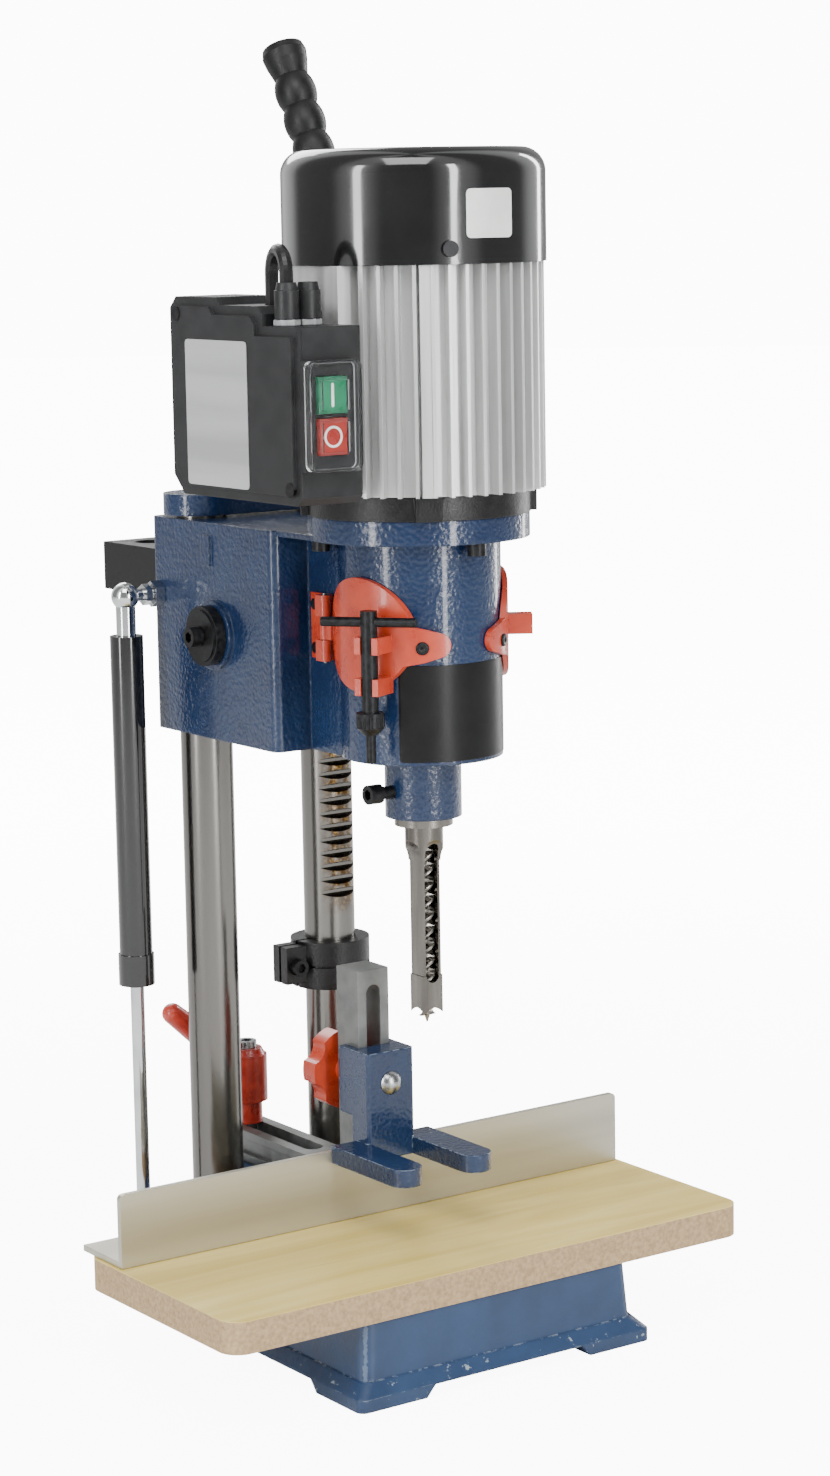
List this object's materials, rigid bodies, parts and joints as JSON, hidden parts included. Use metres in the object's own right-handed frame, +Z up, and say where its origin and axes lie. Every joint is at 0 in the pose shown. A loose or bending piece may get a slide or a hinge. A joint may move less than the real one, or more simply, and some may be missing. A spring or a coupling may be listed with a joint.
{
  "type": "hollow chisel mortiser",
  "caption": "Bench hollow chisel mortiser: a motor head with a rack and pinion lever slides on two columns above a fence, a hold-down and a table.",
  "frame": {"origin": "centre of the four bench bolt holes, on the plane of the feet", "axes": "+Z up along the spindle, +Y from the operator towards the columns, +X to the operator's right"},
  "size_m": [0.344, 0.3693, 0.7299],
  "materials": {
    "blue_paint": "gloss",
    "board_laminate": "satin",
    "fence_aluminium": "satin",
    "grey_casting": "matte",
    "zinc_fasteners": "satin",
    "black_screws": "satin",
    "orange_plastic": "gloss",
    "red_lever": "satin",
    "ground_steel": "polished",
    "tool_steel": "satin",
    "black_casting": "satin",
    "lever_chrome": "polished",
    "grip_rubber": "satin",
    "lead_rubber": "satin",
    "motor_aluminium": "satin",
    "winding_copper": "matte",
    "fan_plastic": "matte",
    "black_gloss": "gloss",
    "box_plastic": "matte",
    "clear_boot": "gloss",
    "green_plastic": "gloss",
    "red_plastic": "gloss",
    "black_sheet": "satin"
  },
  "bodies": {
    "root": {"base_casting": "blue_paint", "table_board": "board_laminate", "table_screws": "zinc_fasteners", "plain_column": "ground_steel", "rack_column": "ground_steel", "column_bridge": "blue_paint", "bridge_screws": "black_screws", "clamp_stud": "zinc_fasteners", "strut_rod": "lever_chrome", "strut_bottom_joint": "lever_chrome"},
    "head": {"head_casting": "blue_paint", "rack_wiper": "orange_plastic", "motor_flange": "black_casting", "motor_housing": "motor_aluminium", "stator": "winding_copper", "motor_bearings": "ground_steel", "fan_cover": "black_gloss", "fan_cover_screw": "black_screws", "motor_screws": "black_screws", "chisel_bush": "tool_steel", "hollow_chisel": "tool_steel", "chisel_lock_screw": "black_screws", "door_hinges": "orange_plastic", "door_pins": "ground_steel", "door_screws": "black_screws", "switch_box": "box_plastic", "switch_cover": "box_plastic", "switch_screws": "black_screws", "switch_panel": "box_plastic", "switch_boot": "clear_boot", "cable_glands": "box_plastic", "motor_lead": "lead_rubber", "strut_cylinder": "black_gloss", "strut_top_joint": "lever_chrome", "tool_rack": "black_sheet"},
    "handle": {"pinion_shaft": "ground_steel", "pinion_washer": "black_screws", "pinion_screw": "black_screws", "lever_hub": "black_casting", "lever_rod": "lever_chrome", "lever_grip": "grip_rubber"},
    "spindle": {"rotor": "ground_steel", "cooling_fan": "fan_plastic", "drill_chuck": "tool_steel", "auger_bit": "tool_steel"},
    "left_door": {"left_door": "orange_plastic", "chuck_key": "black_screws"},
    "right_door": {"right_door": "orange_plastic"},
    "start": {"start_button": "green_plastic"},
    "stop": {"stop_button": "red_plastic"},
    "collar": {"stop_collar": "black_casting", "collar_screw": "black_screws"},
    "fence": {"fence_angle": "fence_aluminium", "fence_slide_bar": "grey_casting", "fence_screws": "zinc_fasteners", "holddown_post": "grey_casting"},
    "holddown": {"holddown_bracket": "blue_paint", "holddown_bolt": "zinc_fasteners"},
    "knob": {"holddown_knob": "orange_plastic"},
    "clamp": {"clamp_lever": "red_lever"}
  },
  "joints": [
    {"name": "head_slide", "type": "slide", "parent": "root", "child": "head", "axis": [0, 0, 1], "range_m": [-0.09, 0], "stiffness_N_per_m": 600, "springref_m": 0.62},
    {"name": "handle_turn", "type": "hinge", "parent": "head", "child": "handle", "pos_m": [0.098, 0.0475, 0.3936], "axis": [1, 0, 0], "range_deg": [0, 160]},
    {"name": "spindle_spin", "type": "hinge", "parent": "head", "child": "spindle", "pos_m": [0, -0.0655, 0.3], "axis": [0, 0, -1], "continuous": true},
    {"name": "left_door_swing", "type": "hinge", "parent": "head", "child": "left_door", "pos_m": [-0.0436, -0.038, 0.404], "axis": [0, 0, -1], "range_deg": [0, 90], "stiffness_Nm_per_rad": 0.02, "springref_deg": -28.65},
    {"name": "right_door_swing", "type": "hinge", "parent": "head", "child": "right_door", "pos_m": [0.0436, -0.038, 0.404], "axis": [0, 0, 1], "range_deg": [0, 90], "stiffness_Nm_per_rad": 0.02, "springref_deg": -28.65},
    {"name": "start_press", "type": "slide", "parent": "head", "child": "start", "axis": [0, 1, 0], "range_m": [0, 0.0025], "stiffness_N_per_m": 400, "springref_m": -0.004},
    {"name": "stop_press", "type": "slide", "parent": "head", "child": "stop", "axis": [0, 1, 0], "range_m": [0, 0.0025], "stiffness_N_per_m": 400, "springref_m": -0.004},
    {"name": "collar_slide", "type": "slide", "parent": "root", "child": "collar", "axis": [0, 0, 1], "range_m": [-0.078, 0]},
    {"name": "fence_slide", "type": "slide", "parent": "root", "child": "fence", "axis": [0, 1, 0], "range_m": [-0.02, 0.04]},
    {"name": "holddown_slide", "type": "slide", "parent": "fence", "child": "holddown", "axis": [0, 0, 1], "range_m": [0, 0.04]},
    {"name": "knob_turn", "type": "hinge", "parent": "holddown", "child": "knob", "pos_m": [0, 0.0245, 0.1415], "axis": [0, 1, 0], "range_deg": [0, 360]},
    {"name": "clamp_turn", "type": "hinge", "parent": "root", "child": "clamp", "pos_m": [0, 0.1235, 0.12], "axis": [0, 0, -1], "range_deg": [0, 100]}
  ],
  "couplings": [
    {"joint": "handle_turn", "follows": "head_slide", "rad_per_m": -30.769}
  ]
}
